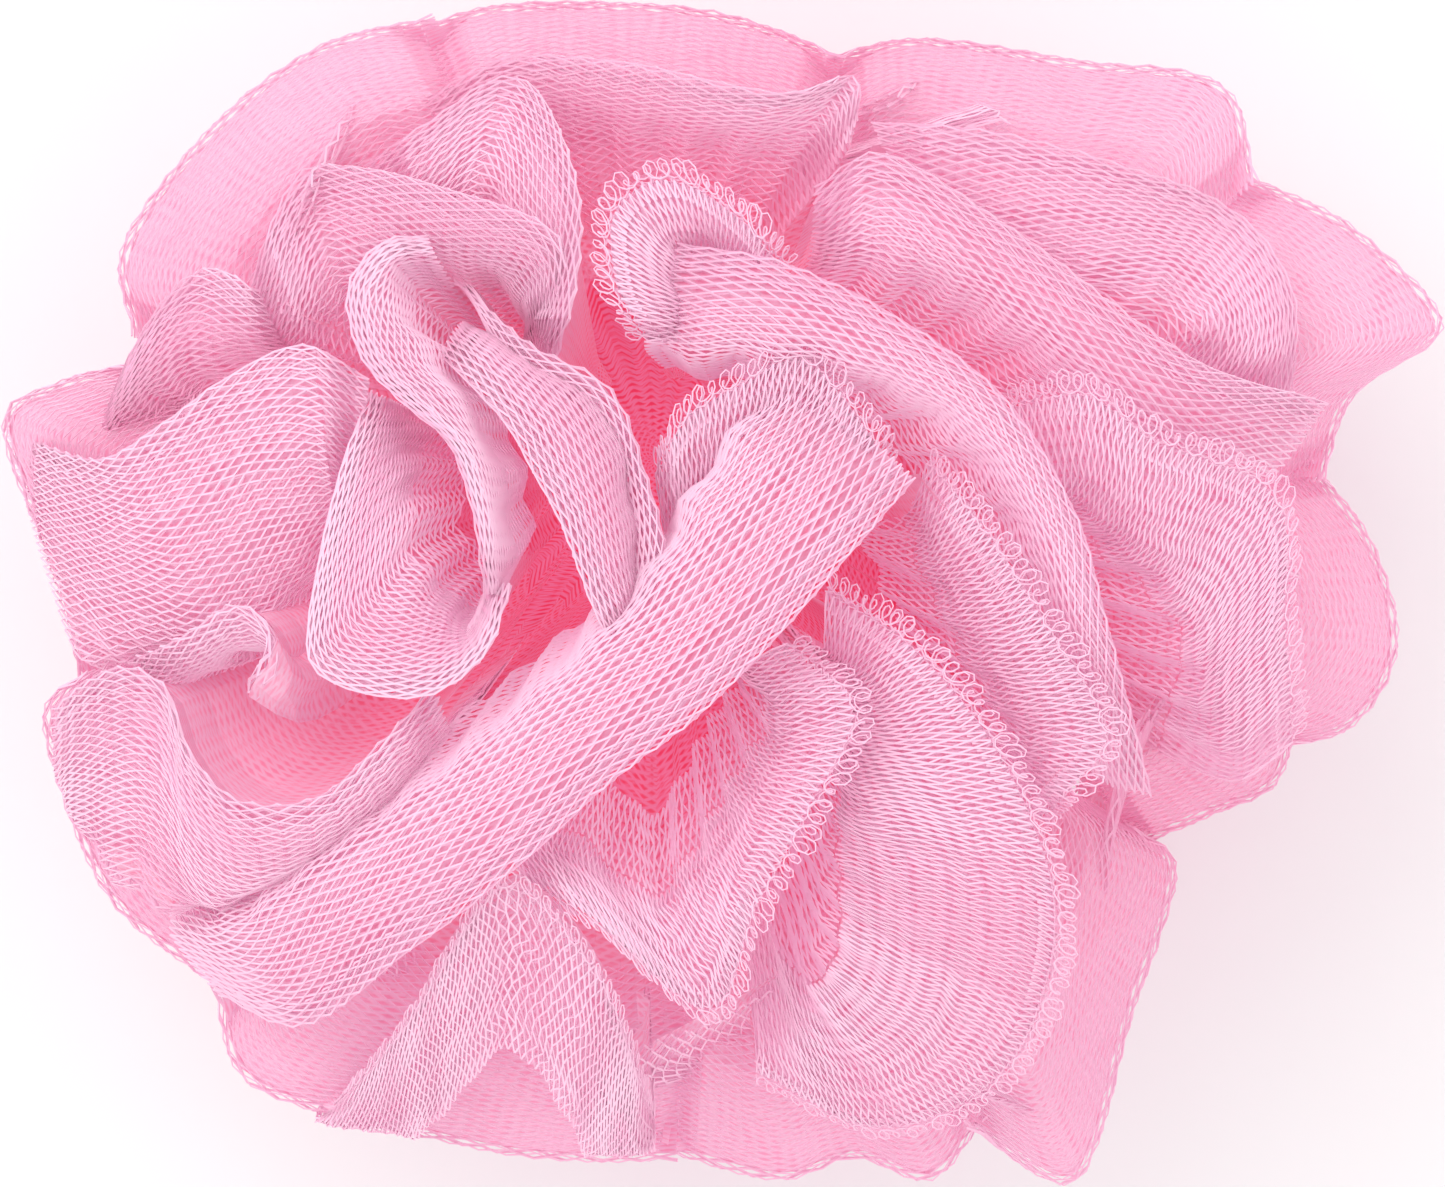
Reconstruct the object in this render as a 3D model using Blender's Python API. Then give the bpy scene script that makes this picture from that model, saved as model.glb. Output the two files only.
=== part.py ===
# Mesh bath puff: a long tube of soft plastic net, gathered and tied round its middle,
# so that it stands out all round in deep ruffles, half of them over the tie and half under it.
# Lengths are in metres, +Z is up, and the puff rests on the flattened underside of its ruffles.

import bpy
import bmesh
import math
from mathutils import Vector
from mathutils.bvhtree import BVHTree

MM = 0.001

# The ball of ruffles
HALF_LENGTH = 64 * MM          # half the dome's length, along X
HALF_WIDTH = 53 * MM           # half the dome's width, along Y
WAIST_HEIGHT = 38 * MM         # the tie's height over the floor
DOME_RISE = 42 * MM            # the upper dome's height over the tie
DOME_DROP = 42 * MM            # the lower dome's depth under the tie, before the floor flattens it
DOME_ROUNDNESS = 2.3           # 2 is an ellipsoid, more has a flatter top
BODY_ROUNDNESS = 2.8           # the same for the ball inside the ruffles, out to the outline
RECESS_DEPTH = 29 * MM         # how far the spaces between the ruffles reach into the dome
FLANK_SAG = 7 * MM             # how far the net hangs under a straight line from a ruffle to its root
REST_RADIUS = 21 * MM          # the ruffles within this of the tie's axis lie flat on the floor
UNDER_TURN = 0.56              # the underside repeats the upper ruffles this part of a turn further round

# The net, as lengths between the points of its surface
RIM_STEP = 3.6 * MM            # along the outline
ROWS = 22                      # from the middle to the outline
BAND_STEPS = 8                 # pieces along each ruffle's crest
BAND_BULGE = 1.2 * MM          # how far a ruffle's band swells between its two edges
SMOOTHINGS = 2                 # how often each fold is rounded off by its neighbours
LIP = 2 * MM                   # the net's thickness at the outline, over and under the tie
MEETING_GAP = 0.6 * MM         # between the upper and the lower ruffles where they meet

# The gathered middle and its tie
GATHER_X = -6 * MM
GATHER_Y = 12 * MM
NECK_RADIUS = 6 * MM           # the gathered net inside the tie
ROOT_DEPTH = 30 * MM           # how far under their inner lines the ruffles are gathered
ROOT_RADIUS = 7 * MM           # and how far from the tie's axis
TIE_CORD = 1.6 * MM            # the tie's thickness
TIE_GAP = 0.3 * MM             # between the tie and the net

NET_PINK = (1.0, 0.52, 0.68, 1.0)
TIE_PINK = (0.9, 0.36, 0.52, 1.0)

# The puff's outline seen from above: lobes of net with notches between them.
# A point is X and Y from the middle of the puff in millimetres.
OUTLINE = [
    (65, 24), (62.5, 29), (58, 32), (48.5, 37), (46, 42), (45, 46), (34.5, 47), (29, 48.5), (18, 50),
    (10, 48.7), (3, 51), (-10, 52.5), (-20, 53), (-25, 51.8), (-32, 51), (-38, 48), (-44, 43.5),
    (-49.5, 38), (-53, 33), (-54.6, 24), (-52, 22.3), (-54.5, 19.2), (-58, 19), (-61.5, 18.6), (-65, 16.3),
    (-63, 10), (-58, -7), (-61, -9.3), (-60.8, -14), (-59.6, -19.5), (-56, -26), (-46, -35.6),
    (-42.6, -44.8), (-40, -46), (-29.7, -49), (-23.5, -50.3), (-15, -51), (-5.7, -50.8), (5.4, -53),
    (8.7, -50), (10.3, -49.6), (16.5, -53), (21, -52), (22.4, -48.3), (31, -53), (32.5, -51.4), (38, -35),
    (40.7, -25), (38, -22), (49.4, -17.8), (50.5, -13.6), (58, -11), (61, -4), (60.5, 0), (54.3, 11),
    (57.5, 18)]

# Each ruffle is a crest, its free folded edge, and the line where the net turns down into the puff.
# A point is X and Y from the middle of the puff and its lift over the dome, all in millimetres.
RUFFLES = {
    "hook": (
        [(-33, 26, 2), (-31, 20, 3), (-28, 14, 4), (-26, 8, 4), (-25, 3, 4), (-22, -2, 3)],
        [(-28, 28, 1), (-27, 22, 2), (-24, 16, 3), (-22, 10, 3), (-20, 4, 3), (-20, -1, 1)]),
    "pocket": (
        [(-31, 18, 0), (-34, 9, 2), (-37, -3, 3), (-33, -8, 3), (-25, -7, 3), (-19, -2, 2)],
        [(-29, 17, -4), (-28, 9, -1), (-27, 2, -1), (-25, -2, -2), (-23, -3, -4), (-21, -1, -6)]),
    "inner_ribbon": (
        [(-23, 20, 2), (-19, 14, 3), (-16, 8, 3), (-13, 2, 2), (-11, -4, 1)],
        [(-20, 24, 0), (-16, 17, 0), (-12, 10, 0), (-9, 3, -1), (-8, -5, -1)]),
    "pole_sheet": (
        [(-23, 30, 0), (-17, 22, 1), (-10, 18, 0), (-7, 11, -1), (-5, 3, 1), (-7, -5, 1)],
        [(-22, 26, -5), (-18, 18, -6), (-13, 13, -7), (-10, 8, -8), (-9, 2, -6), (-10, -4, -5)]),
    "left_fan": (
        [(-65, 15, -5), (-56, 12, -2), (-50, 15, 0), (-44, 19, 2), (-37, 22, 3), (-31, 19, 2)],
        [(-58, -7, -7), (-53, -6, -6), (-48, -5, -6), (-42, -4, -7), (-37, 3, -6), (-32, 11, -4)]),
    "left_back": (
        [(-54, 19, -4), (-50, 26, -1), (-46, 29, 0), (-41, 27, 0)],
        [(-56, 14, -9), (-51, 18, -7), (-45, 21, -6), (-39, 22, -6)]),
    "corner_box": (
        [(-42, 28, 0), (-38, 37, 1), (-33, 38, 2), (-25, 36, 2), (-15, 32, 2), (-14, 24, 0)],
        [(-40, 22, -6), (-36, 25, -6), (-31, 29, -5), (-26, 30, -4), (-19, 28, -5), (-17, 22, -8)]),
    "apex": (
        [(-32, 38, 0), (-26, 42, 2), (-18, 46, 3), (-13, 37, 2), (-13, 27, 1), (-15, 20, -3)],
        [(-29, 34, -4), (-25, 35, -3), (-20, 35, -3), (-18, 32, -4), (-17, 27, -6), (-17, 22, -9)]),
    "top_roll": (
        [(-27, 44, 0), (-19, 48, 2), (-8, 47, 3), (6, 44, 3), (12, 46, 1), (12, 42, 0)],
        [(-24, 41, -6), (-16, 44, -5), (-8, 42, -6), (2, 40, -6), (8, 40, -5), (10, 38, -5)]),
    "box_petal": (
        [(-7, 22, 1), (-10, 27, 2), (-10, 34, 3), (-5, 37, 3), (1, 34, 2), (6, 29, 1)],
        [(-4, 22, 1), (-4, 26, 0), (-4, 30, -2), (-2, 31, -3), (0, 30, -3), (4, 27, -2)]),
    "long_ribbon": (
        [(-4, 31, 2), (6, 29, 3), (16, 24, 4), (25, 17, 4), (31, 7, 4), (34, -3, 2), (38, -18, -1)],
        [(-7, 22, 2), (3, 21, 2), (11, 20, 2), (20, 16, 2), (26, 8, 1), (30, -3, 0), (34, -17, -5)]),
    "right_ribbon": (
        [(8, 36, 0), (14, 39, 3), (23, 34, 3), (34, 26, 3), (43, 20, 2), (54, 17, -1)],
        [(8, 32, -4), (14, 29, -1), (22, 27, -1), (30, 21, -1), (38, 14, -2), (49, 10, -6)]),
    "right_fan": (
        [(13, 42, 1), (24, 41, 2), (36, 38, 2), (46, 34, 0), (51, 27, -1), (51, 18, -3)],
        [(15, 37, -5), (24, 33, -3), (33, 28, -2), (40, 24, -2), (45, 21, -3), (48, 17, -6)]),
    "looped_ribbon": (
        [(25, 17, -2), (32, 18, 2), (38, 14, 3), (49, 9, 2), (50, -2, 0), (51, -13, -3)],
        [(27, 9, -6), (32, 8, -4), (35, 5, -3), (39, 1, -2), (42, -6, -4), (46, -17, -7)]),
    "main_ribbon": (
        [(17, 10, 4), (11, 4, 5), (-2, -8, 5), (-15, -14, 4), (-28, -22, 3), (-43, -33, -1)],
        [(6, 21, 2), (-1, 10, 3), (-8, -4, 2), (-20, -14, 1), (-36, -25, -1), (-50, -30, -5)]),
    "main_crest": (
        [(-6, 11, -2), (-3, 16, 0), (2, 19, 1), (7, 21, 1), (12, 16, 1), (15, 11, 0)],
        [(-5, 4, -7), (-1, 7, -6), (2, 9, -5), (5, 10, -5), (8, 8, -6), (10, 5, -7)]),
    "corner_petal": (
        [(18, 12, 0), (23, 6, 2), (29, -3, 2), (34, -12, 2), (31, -17, 1), (28, -20, -2)],
        [(17, 8, -6), (19, 2, -4), (22, -5, -3), (26, -12, -3), (27, -16, -4), (26, -19, -6)]),
    "round_petal": (
        [(9, 1, -2), (18, -5, 1), (26, -16, 2), (30, -29, 2), (26, -42, 0), (15, -48, -2), (3, -43, -4)],
        [(9, -5, -6), (12, -9, -4), (12, -16, -3), (10, -24, -3), (9, -32, -3), (7, -38, -4), (3, -40, -6)]),
    "front_fold": (
        [(6, -4, -1), (12, -10, 2), (8, -19, 3), (3, -28, 3), (-1, -37, 2), (-11, -29, 2), (-17, -26, 1)],
        [(2, -6, -4), (5, -12, -2), (2, -19, 0), (-1, -24, 0), (-5, -27, -1), (-13, -23, -2), (-19, -22, -3)]),
    "front_petal": (
        [(-36, -47, -6), (-28, -38, -1), (-21, -27, 1), (-17, -26, 1), (-10, -35, 0), (-6, -47, -6)],
        [(-31, -50, -8), (-26, -46, -5), (-20, -41, -3), (-17, -40, -3), (-14, -43, -4), (-11, -50, -8)]),
    "rolled_fold": (
        [(-58, -8, -4), (-50, -6, 0), (-47, -12, 1), (-42, -18, 2), (-36, -17, 2), (-29, -12, 1)],
        [(-56, -26, -6), (-51, -26, -4), (-46, -24, -3), (-41, -24, -3), (-35, -22, -4), (-28, -17, -5)]),
    "small_loop": (
        [(-53, -6, -4), (-48, -4, 0), (-43, -1, 1), (-40, -4, 1), (-42, -8, -1)],
        [(-50, -9, -7), (-46, -7, -6), (-42, -5, -5), (-38, -7, -5), (-38, -11, -7)]),
}


def newMaterial(name, color, roughness):
    """Return a Principled material of one colour."""
    material = bpy.data.materials.new(name)
    material.use_nodes = True
    shader = material.node_tree.nodes["Principled BSDF"]
    shader.inputs["Base Color"].default_value = color
    shader.inputs["Roughness"].default_value = roughness
    return material


def smoothLine(points, steps):
    """Return steps + 1 points along a smooth curve through the given ones."""
    ends = [points[0] * 2 - points[1]] + points + [points[-1] * 2 - points[-2]]
    line = []
    for step in range(steps + 1):
        place = (len(points) - 1) * step / steps
        i = min(int(place), len(points) - 2)
        t = place - i
        a, b, c, d = ends[i:i + 4]
        line.append(0.5 * (2 * b + (c - a) * t + (2 * a - 5 * b + 4 * c - d) * t ** 2
                           + (3 * b - a - 3 * c + d) * t ** 3))
    return line


def roundShare(across, roundness):
    """Return a round body's height over its rim, as a share of its full height."""
    return math.sqrt(max(1.0 - across ** roundness, 0.0))


def rufflePoint(x, y, lift):
    """Return a ruffle's point, with its height over the tie."""
    x, y = x * MM, y * MM
    across = math.hypot(x / HALF_LENGTH, y / HALF_WIDTH)
    return Vector((x, y, DOME_RISE * roundShare(across, DOME_ROUNDNESS) + lift * MM))


def ruffleSheets():
    """Return all ruffles as one open surface, to be measured from above."""
    points = []
    faces = []
    for crest, turn in RUFFLES.values():
        outer = smoothLine([rufflePoint(*point) for point in crest], BAND_STEPS)
        inner = smoothLine([rufflePoint(*point) for point in turn], BAND_STEPS)
        for step, (edge, fold) in enumerate(zip(outer, inner)):
            away = Vector((fold.x - GATHER_X, fold.y - GATHER_Y, 0)).normalized()
            root = Vector((GATHER_X, GATHER_Y, max(fold.z - ROOT_DEPTH, 0))) + away * ROOT_RADIUS
            middle = edge.lerp(fold, 0.5) + Vector((0, 0, BAND_BULGE))
            flank = fold.lerp(root, 0.3) - Vector((0, 0, FLANK_SAG))
            first = len(points)
            points += [edge, middle, fold, flank, root]
            if step < BAND_STEPS:
                faces += [(first + k, first + k + 5, first + k + 6, first + k + 1) for k in range(4)]
    return BVHTree.FromPolygons(points, faces)


def netHeights(rims):
    """Return the net's height over the tie in rows from its middle out to each point of the outline."""
    sheets = ruffleSheets()
    axis = Vector((GATHER_X, GATHER_Y))
    heights = []
    for rim in rims:
        column = []
        for row in range(ROWS + 1):
            spot = axis.lerp(rim, row / ROWS)
            share = roundShare(row / ROWS, BODY_ROUNDNESS)
            recess = (DOME_RISE - RECESS_DEPTH) * share
            hit = sheets.ray_cast(Vector((spot.x, spot.y, 2 * DOME_RISE)), Vector((0, 0, -1)))[0]
            column.append(recess if hit is None else max(hit.z, recess))
        heights.append(column)
    for _ in range(SMOOTHINGS):
        heights = rounded(heights)
    return heights


def rounded(heights):
    """Return the heights, each drawn towards those beside it."""
    result = []
    for j, column in enumerate(heights):
        before = heights[j - 1]
        after = heights[(j + 1) % len(heights)]
        line = [sum(other[0] for other in heights) / len(heights)]
        for k in range(1, ROWS):
            line.append((2 * column[k] + column[k - 1] + column[k + 1] + before[k] + after[k]) / 6)
        line.append((2 * column[ROWS] + before[ROWS] + after[ROWS]) / 4)
        result.append(line)
    return result


def outlinePoints():
    """Return the points of the outline, about RIM_STEP apart."""
    corners = [Vector((x * MM, y * MM)) for x, y in OUTLINE]
    points = []
    for here, after in zip(corners, corners[1:] + corners[:1]):
        pieces = max(round((after - here).length / RIM_STEP), 1)
        points += [here.lerp(after, k / pieces) for k in range(pieces)]
    return points


def netColumn(rim, over, under):
    """Return one section of the net, from the top of its middle round the outline to its underside."""
    axis = Vector((GATHER_X, GATHER_Y))
    away = (rim - axis).normalized()
    room = TIE_CORD / 2 + TIE_GAP
    outside = NECK_RADIUS + 2 * room
    least = MEETING_GAP / 2 + LIP
    column = []
    for row in range(1, ROWS + 1):
        spot = axis.lerp(rim, row / ROWS)
        column.append((spot.x, spot.y, max(over[row], least)))
    column.append((rim.x, rim.y, MEETING_GAP / 2))
    slit = [(outside + room, MEETING_GAP / 2), (outside, room), (NECK_RADIUS, room)]
    slit += [(radius, -height) for radius, height in reversed(slit)]
    for radius, height in slit:
        spot = axis + away * radius
        column.append((spot.x, spot.y, height))
    column.append((rim.x, rim.y, -MEETING_GAP / 2))
    for row in range(ROWS, 0, -1):
        spot = axis.lerp(rim, row / ROWS)
        depth = max(under[row] * DOME_DROP / DOME_RISE, least)
        if (spot - axis).length < REST_RADIUS:
            depth = WAIST_HEIGHT
        column.append((spot.x, spot.y, -min(depth, WAIST_HEIGHT)))
    return [(x, y, z + WAIST_HEIGHT) for x, y, z in column]


def netRuffle():
    """Return the gathered net with all its ruffles as one closed body."""
    rims = outlinePoints()
    heights = netHeights(rims)
    shift = round(UNDER_TURN * len(rims))
    skin = bmesh.new()
    columns = []
    for j, rim in enumerate(rims):
        section = netColumn(rim, heights[j], heights[(j + shift) % len(rims)])
        columns.append([skin.verts.new(point) for point in section])
    top = skin.verts.new((GATHER_X, GATHER_Y, WAIST_HEIGHT + heights[0][0]))
    bottom = skin.verts.new((GATHER_X, GATHER_Y, 0))
    for here, after in zip(columns, columns[1:] + columns[:1]):
        skin.faces.new((top, here[0], after[0]))
        for k in range(len(here) - 1):
            skin.faces.new((here[k], here[k + 1], after[k + 1], after[k]))
        skin.faces.new((bottom, after[-1], here[-1]))
    bmesh.ops.triangulate(skin, faces=skin.faces)
    bmesh.ops.recalc_face_normals(skin, faces=skin.faces)
    mesh = bpy.data.meshes.new("net_ruffle")
    skin.to_mesh(mesh)
    skin.free()
    return bpy.data.objects.new("net_ruffle", mesh)


def waistTie():
    """Return the cord ring that holds the gathers at the waist."""
    ring = NECK_RADIUS + TIE_GAP + TIE_CORD / 2
    bpy.ops.mesh.primitive_torus_add(major_radius=ring, minor_radius=TIE_CORD / 2, major_segments=32,
                                     minor_segments=8, location=(GATHER_X, GATHER_Y, WAIST_HEIGHT))
    tie = bpy.context.object
    tie.name = "waist_tie"
    bpy.context.collection.objects.unlink(tie)
    return tie


for old in list(bpy.data.objects):
    bpy.data.objects.remove(old)

puff = bpy.data.collections.new("bath_puff")
bpy.context.scene.collection.children.link(puff)

net = netRuffle()
net.data.materials.append(newMaterial("net_plastic", NET_PINK, 0.45))
puff.objects.link(net)
tie = waistTie()
tie.data.materials.append(newMaterial("tie_cord", TIE_PINK, 0.6))
puff.objects.link(tie)
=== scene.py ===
# Bath puff of gathered pink net: thread by thread over listed ruffles, on a white floor.
# Ruffle points are in millimetres from the puff's middle, everything else is in metres.
import math
import bpy
import numpy as np
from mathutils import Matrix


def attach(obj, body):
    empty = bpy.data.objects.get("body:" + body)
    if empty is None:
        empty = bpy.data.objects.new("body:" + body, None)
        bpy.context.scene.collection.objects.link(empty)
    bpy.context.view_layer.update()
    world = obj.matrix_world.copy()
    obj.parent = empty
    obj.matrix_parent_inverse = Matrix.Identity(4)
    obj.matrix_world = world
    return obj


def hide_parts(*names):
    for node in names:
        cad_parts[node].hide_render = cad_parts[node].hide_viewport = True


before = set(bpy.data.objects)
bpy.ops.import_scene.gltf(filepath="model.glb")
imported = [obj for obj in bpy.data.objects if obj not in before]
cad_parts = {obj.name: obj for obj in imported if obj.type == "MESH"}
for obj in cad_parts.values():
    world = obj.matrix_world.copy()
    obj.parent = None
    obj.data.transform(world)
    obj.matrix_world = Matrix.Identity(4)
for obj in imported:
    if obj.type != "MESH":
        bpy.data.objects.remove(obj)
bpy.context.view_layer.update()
mm = 0.001

puff = {
    "halfLength": 64, "halfWidth": 53,  # the dome, from its middle
    "waist": 38, "rise": 42, "roundness": 2.3,
    "gather": (-6, 12),  # the tie's axis
    "rootRadius": 8, "rootLow": 4, "rootHigh": 14, "rootSpread": 0.3,
}

# crest, then the line where the net turns down; x, y and lift over the dome
upperRuffles = {
    "hook": (
        [(-26, 31.5, 2), (-30, 31, 3), (-33, 27, 3), (-32, 21, 3), (-28, 16.5, 4), (-24, 13, 4), (-22, 7, 4),
         (-21, 0, 3)],
        [(-25, 29, 1), (-28, 29, 1), (-29, 27, 1), (-27.5, 23, 2), (-24.5, 18.5, 3), (-21.5, 13.5, 3), (-20, 7, 3),
         (-19.5, 0, 2)]),
    "pocket": (
        [(-31, 18, 0), (-34, 9, 2), (-36.5, -4, 3), (-34, -8, 3), (-26, -9, 3), (-20.5, -5, 3), (-18.5, 1, 3)],
        [(-29, 17, -4), (-28, 9, -1), (-26.5, 3, -1), (-25, -1, -1), (-23.5, -3, -1), (-22, -3, -1), (-20.5, 1, -1)]),
    "innerRibbon": (
        [(-25, 21, 0), (-22, 18, 2), (-18.5, 14, 3), (-16, 9.5, 3), (-13.5, 4.5, 3), (-11.5, -1, 2), (-9, -6, 1)],
        [(-23, 24, -2), (-19, 21.5, 0), (-14, 18.5, 0), (-10, 15, 0), (-8.5, 10, -1), (-7.5, 4, -1), (-7, -3, -1)]),
    "poleSheet": (
        [(-24, 28, -5), (-17, 22, 0), (-10, 18, 0), (-7, 11, -1), (-5, 3, 1), (-7, -5, 1)],
        [(-22, 26, -5), (-18, 18, -6), (-13, 13, -7), (-10, 8, -8), (-9, 2, -6), (-10, -4, -5)]),
    "leftFan": (
        [(-65, 15, -5), (-56, 12, -2), (-50, 15, 0), (-44, 19, 2), (-37, 22, 3), (-31, 19, 2)],
        [(-58, -7, -7), (-53, -6, -6), (-48, -5, -6), (-42, -4, -7), (-37, 3, -6), (-32, 11, -4)]),
    "leftBack": (
        [(-54, 19, -4), (-50, 26, -1), (-46, 29, 0), (-41, 27, 0)],
        [(-56, 14, -9), (-51, 18, -7), (-45, 21, -6), (-39, 22, -6)]),
    "cornerBox": (
        [(-42, 28, 0), (-38, 37, 1), (-33, 38, 2), (-25, 36, 2), (-15, 32, 2), (-14, 24, 0)],
        [(-40, 22, -6), (-36, 25, -6), (-31, 29, -5), (-26, 30, -4), (-19, 28, -5), (-17, 22, -8)]),
    "apex": (
        [(-32, 38, 0), (-26, 42, 2), (-18, 46, 3), (-13, 37, 2), (-13, 27, 1), (-15, 20, -3)],
        [(-29, 34, -4), (-25, 35, -3), (-20, 35, -3), (-18, 32, -4), (-17, 27, -6), (-17, 22, -9)]),
    "topRoll": (
        [(-27, 44, 0), (-19, 48, 2), (-8, 47, 3), (6, 44, 3), (12, 46, 1), (12, 42, 0)],
        [(-24, 41, -6), (-16, 44, -5), (-8, 42, -6), (2, 40, -6), (8, 40, -5), (10, 38, -5)]),
    "boxPetal": (
        [(-7, 22, 1), (-10, 27, 2), (-10, 34, 3), (-5, 37, 3), (1, 34, 2), (6, 29, 1)],
        [(-4, 22, 1), (-4, 26, 0), (-4, 30, -2), (-2, 31, -3), (0, 30, -3), (4, 27, -2)]),
    "longRibbon": (
        [(-4, 31, 2), (6, 29, 3), (16, 24, 4), (25, 17, 4), (31, 7, 4), (34, -3, 2), (38, -18, -1)],
        [(-7, 22, 2), (3, 21, 2), (11, 20, 2), (20, 16, 2), (26, 8, 1), (30, -3, 0), (34, -17, -5)]),
    "rightRibbon": (
        [(8, 36, 0), (14, 39, 3), (23, 34, 3), (34, 26, 3), (43, 20, 2), (54, 17, -1)],
        [(8, 32, -4), (14, 29, -1), (22, 27, -1), (30, 21, -1), (38, 14, -2), (49, 10, -6)]),
    "rightFan": (
        [(13, 42, 1), (24, 41, 2), (36, 38, 2), (46, 34, 0), (51, 27, -1), (51, 18, -3)],
        [(15, 37, -5), (24, 33, -3), (33, 28, -2), (40, 24, -2), (45, 21, -3), (48, 17, -6)]),
    "loopedRibbon": (
        [(25, 17, -2), (32, 18, 2), (38, 14, 3), (49, 9, 2), (50, -2, 0), (51, -13, -3)],
        [(27, 9, -6), (32, 8, -4), (35, 5, -3), (39, 1, -2), (42, -6, -4), (46, -17, -7)]),
    "mainRibbon": (
        [(17, 10, 4), (11, 3, 5), (0, -9, 5), (-10, -17, 4), (-19, -25, 4), (-28, -32, 3), (-37, -38.5, 2),
         (-45, -36, 3)],
        [(6, 21, 2), (-1, 10, 3), (-7, 0, 3), (-16, -9, 3), (-26, -17, 2), (-35, -23, 1), (-43, -29, 1),
         (-50, -30, 1)]),
    "mainCrest": (
        [(-6, 11, -2), (-3, 16, 0), (2, 19, 1), (7, 21, 1), (12, 16, 1), (15, 11, 0)],
        [(-5, 4, -7), (-1, 7, -6), (2, 9, -5), (5, 10, -5), (8, 8, -6), (10, 5, -7)]),
    "cornerPetal": (
        [(18, 12, 0), (23, 6, 2), (29, -3, 2), (34, -12, 2), (31, -17, 1), (28, -20, -2)],
        [(17, 8, -6), (19, 2, -4), (22, -5, -3), (26, -12, -3), (27, -16, -4), (26, -19, -6)]),
    "roundPetal": (
        [(9, 1, -2), (18, -5, 1), (26, -16, 2), (30, -29, 2), (26, -42, 0), (15, -48, -2), (3, -43, -4)],
        [(9, -5, -6), (12, -9, -4), (12, -16, -3), (10, -24, -3), (9, -32, -3), (7, -38, -4), (3, -40, -6)]),
    "frontFold": (
        [(6, -4, -1), (12, -10, 2), (8, -19, 3), (3, -28, 3), (-1, -37, 2), (-11, -29, 2), (-17, -26, 1)],
        [(2, -6, -4), (5, -12, -2), (2, -19, 0), (-1, -24, 0), (-5, -27, -1), (-13, -23, -2), (-19, -22, -3)]),
    "frontPetal": (
        [(-35, -46, 7), (-28, -38, -1), (-21, -27, 1), (-17, -26, 1), (-10, -35, 0), (-6, -47, -6)],
        [(-37, -48, 5), (-31, -49, 6), (-23, -50.5, 5), (-15, -51, 4), (-10, -51, 4), (-6, -50.5, 5)]),
    "rolledFold": (
        [(-60, -10, 0), (-54, -6.5, 1), (-49.5, -8, 1), (-47.5, -13.5, 1), (-43, -18, 2), (-36, -18, 2), (-30, -13, 2),
         (-25, -8, 0)],
        [(-60, -17, 3), (-58, -22, 2), (-54, -27, 2), (-49, -29, 1), (-42, -27, 0), (-35, -23, -1), (-29, -18, -2),
         (-24, -12, -3)]),
    "smallLoop": (
        [(-53, -6, -4), (-48, -4, 0), (-43, -1, 1), (-40, -4, 1), (-42, -8, -1)],
        [(-50, -9, -7), (-46, -7, -6), (-42, -5, -5), (-38, -7, -5), (-38, -11, -7)]),
}
denseNet = ("hook", "pocket", "innerRibbon")
openNet = ("frontPetal",)
acrossEdge = ("loopedRibbon", "roundPetal", "mainCrest", "boxPetal", "frontFold", "cornerPetal", "frontPetal")

# the lobes of the outline; the third value is the height over the tie
rimRuffles = {
    "rimTopLeft": (
        [(-53, 23, 6), (-54, 31, 4), (-47, 41, 3), (-37, 49, 3), (-26, 52, 4)],
        [(-44, 20, 14), (-43, 28, 14), (-38, 36, 14), (-31, 42, 14), (-22, 44, 14)]),
    "rimTop": (
        [(-27, 51, 6), (-20, 53, 5), (-5, 53, 5), (4, 51, 6), (11, 48, 8)],
        [(-24, 42, 15), (-16, 45, 15), (-6, 44, 15), (3, 42, 15), (9, 40, 15)]),
    "rimTopRight": (
        [(9, 48, 8), (18, 50, 5), (32, 48, 4), (45, 46, 3), (48, 37, 5)],
        [(10, 41, 15), (18, 41, 15), (29, 38, 15), (37, 35, 14), (40, 30, 13)]),
    "rimRight": (
        [(47, 38, 0), (57, 33, 1), (65, 24, 2), (57, 18, 3), (54, 10, 4)],
        [(41, 31, 12), (46, 26, 12), (49, 22, 12), (47, 17, 12), (46, 10, 12)]),
    "rimRightLow": (
        [(53, 12, 2), (59, 4, 1), (61, -5, 0), (57, -12, 1), (50, -14, 3)],
        [(45, 10, 11), (48, 4, 11), (49, -2, 11), (47, -8, 11), (42, -11, 12)]),
    "rimCorner": (
        [(52, -9, 6), (50, -17, 5), (44, -20, 3), (37, -23, 3)],
        [(42, -7, 14), (40, -11, 14), (37, -13, 14), (32, -15, 14)]),
    "rimLowRight": (
        [(37, -21, 4), (41, -25, 3), (37, -38, 1), (32, -53, 0), (22, -48, 2)],
        [(30, -17, 14), (32, -22, 13), (29, -31, 12), (25, -38, 12), (18, -38, 12)]),
    "rimFrontRight": (
        [(24, -47, 1), (19, -53, 0), (12, -51, 1), (5, -53, 0), (-6, -50, 2)],
        [(17, -36, 11), (13, -40, 11), (8, -41, 11), (3, -41, 11), (-4, -39, 12)]),
    "rimFrontLeft": (
        [(-4, -51, 3), (-17, -51, 1), (-31, -48, 1), (-43, -44, 2), (-46, -35, 4)],
        [(-3, -39, 13), (-13, -40, 12), (-24, -38, 12), (-32, -33, 12), (-34, -26, 13)]),
    "rimLeft": (
        [(-45, -36, 3), (-55, -28, 1), (-60, -17, 1), (-61, -10, 3), (-57, -7, 4)],
        [(-35, -27, 13), (-42, -22, 12), (-46, -14, 12), (-47, -9, 12), (-45, -5, 13)]),
    "rimLeftHigh": (
        [(-58, -8, 0), (-60, 1, 0), (-65, 15, 1), (-60, 19, 3), (-52, 21, 6)],
        [(-45, -7, 11), (-47, 0, 11), (-49, 9, 12), (-47, 14, 13), (-42, 17, 14)]),
}

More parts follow.
